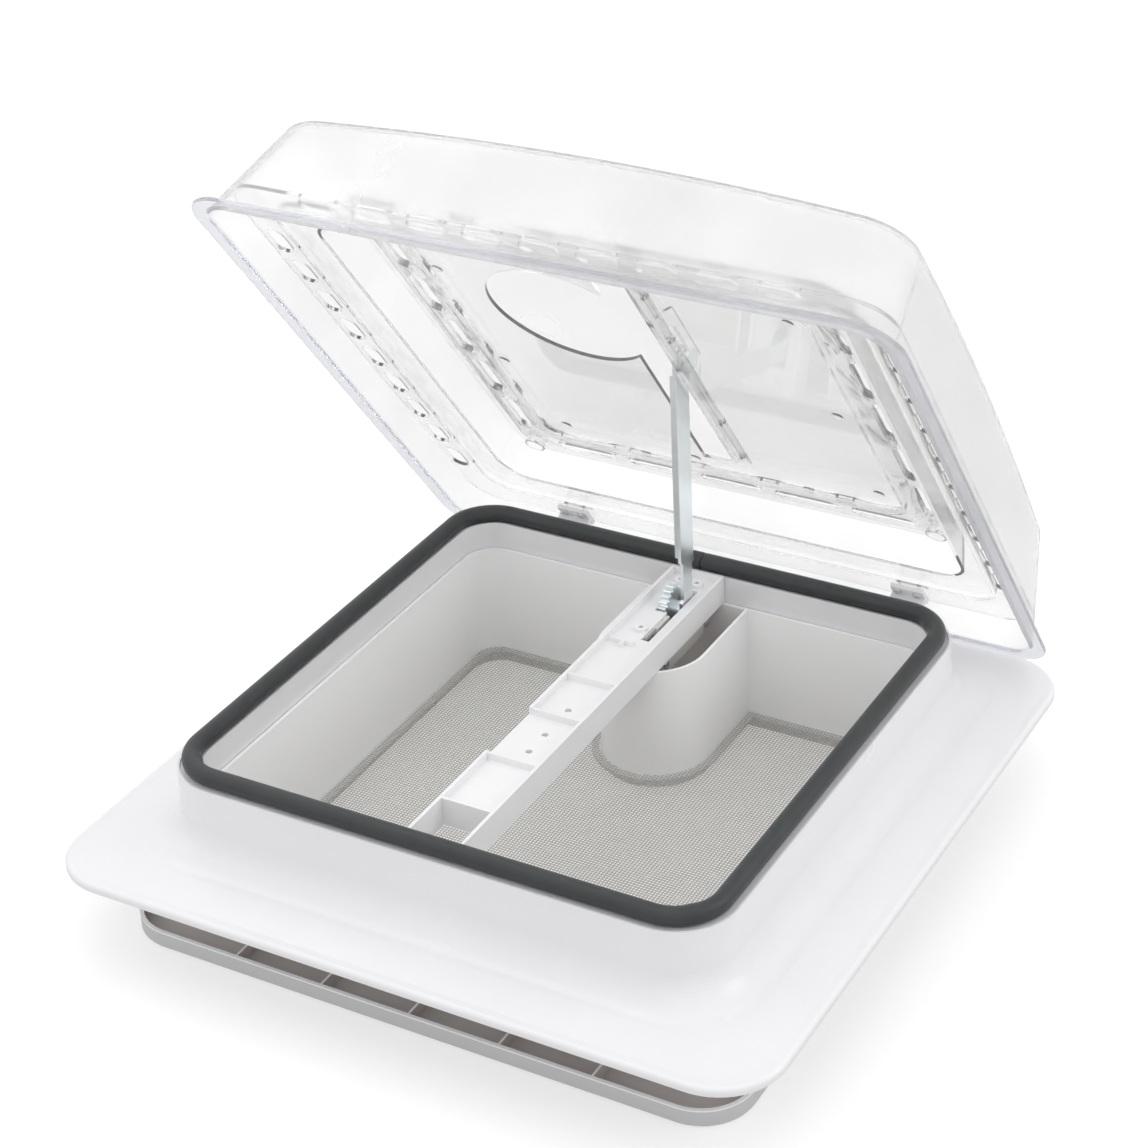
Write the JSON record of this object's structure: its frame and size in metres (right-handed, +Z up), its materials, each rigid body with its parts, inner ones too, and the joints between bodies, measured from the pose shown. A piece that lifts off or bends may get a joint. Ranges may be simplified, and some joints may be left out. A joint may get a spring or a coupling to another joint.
{
  "type": "roof vent",
  "caption": "Opening roof vent with a flanged white frame, clear hinged lid, flyscreen and crank driven stay arm.",
  "frame": {"origin": "middle of the roof cut-out, on the plane of the flange's underside", "axes": "+Z up out of the roof, +Y towards the lid hinge, +X to the right seen from the front"},
  "size_m": [0.49, 0.5318, 0.4645],
  "materials": {
    "white_shell": "smooth, soft gloss",
    "white_trim": "satin moulded",
    "seal_rubber": "soft EPDM sponge",
    "screen_mesh": "woven glass fibre screen",
    "clear_acrylic": "clear, polished",
    "zinc_steel": "zinc plated",
    "screw_steel": "bright",
    "drive_plastic": "acetal, matt",
    "grey_plastic": "fine textured"
  },
  "bodies": {
    "base": {"roof_frame": "white_shell", "rim_seal": "seal_rubber", "interior_trim": "white_trim", "trim_screws": "screw_steel", "flyscreen_frame": "white_trim", "flyscreen_mesh": "screen_mesh", "bridge_beam": "white_trim", "beam_screws": "screw_steel", "gearbox_housing": "drive_plastic", "gearbox_cover": "drive_plastic", "gearbox_cover_screws": "screw_steel", "gearbox_mount_screws": "screw_steel", "worm_bushes": "drive_plastic", "pivot_pin": "zinc_steel", "pivot_spacers": "drive_plastic", "hinge_pins": "screw_steel"},
    "lid": {"dome_shell": "clear_acrylic", "lid_inner_frame": "clear_acrylic", "inner_panel": "clear_acrylic", "panel_screws": "screw_steel", "track_bracket": "clear_acrylic", "bracket_screws": "screw_steel", "hinge_arms": "white_trim", "hinge_arm_screws": "screw_steel"},
    "stay": {"stay_arm": "zinc_steel", "sector_gear": "zinc_steel", "track_pin": "zinc_steel"},
    "crank": {"drive_worm": "screw_steel", "crank_handle": "grey_plastic", "crank_screw": "screw_steel"},
    "knob": {"crank_knob": "grey_plastic"}
  },
  "joints": [
    {"name": "lid_hinge", "type": "hinge", "parent": "base", "child": "lid", "pos_m": [0, 0.1996, 0.0227], "axis": [-1, 0, 0], "range_deg": [-52.46, 0]},
    {"name": "arm_pivot", "type": "hinge", "parent": "base", "child": "stay", "pos_m": [0.00665, 0.144, 0.043], "axis": [-1, 0, 0], "range_deg": [-70, 0]},
    {"name": "crank_turn", "type": "hinge", "parent": "base", "child": "crank", "pos_m": [-0.003, 0.11745, 0], "axis": [0, 0, 1], "range_deg": [0, 2240]},
    {"name": "knob_spin", "type": "hinge", "parent": "crank", "child": "knob", "pos_m": [-0.003, 0.14145, -0.047], "axis": [0, 0, 1], "continuous": true}
  ],
  "couplings": [
    {"joint": "arm_pivot", "follows": "lid_hinge", "ratio": 1.3343},
    {"joint": "crank_turn", "follows": "lid_hinge", "ratio": -42.698}
  ]
}
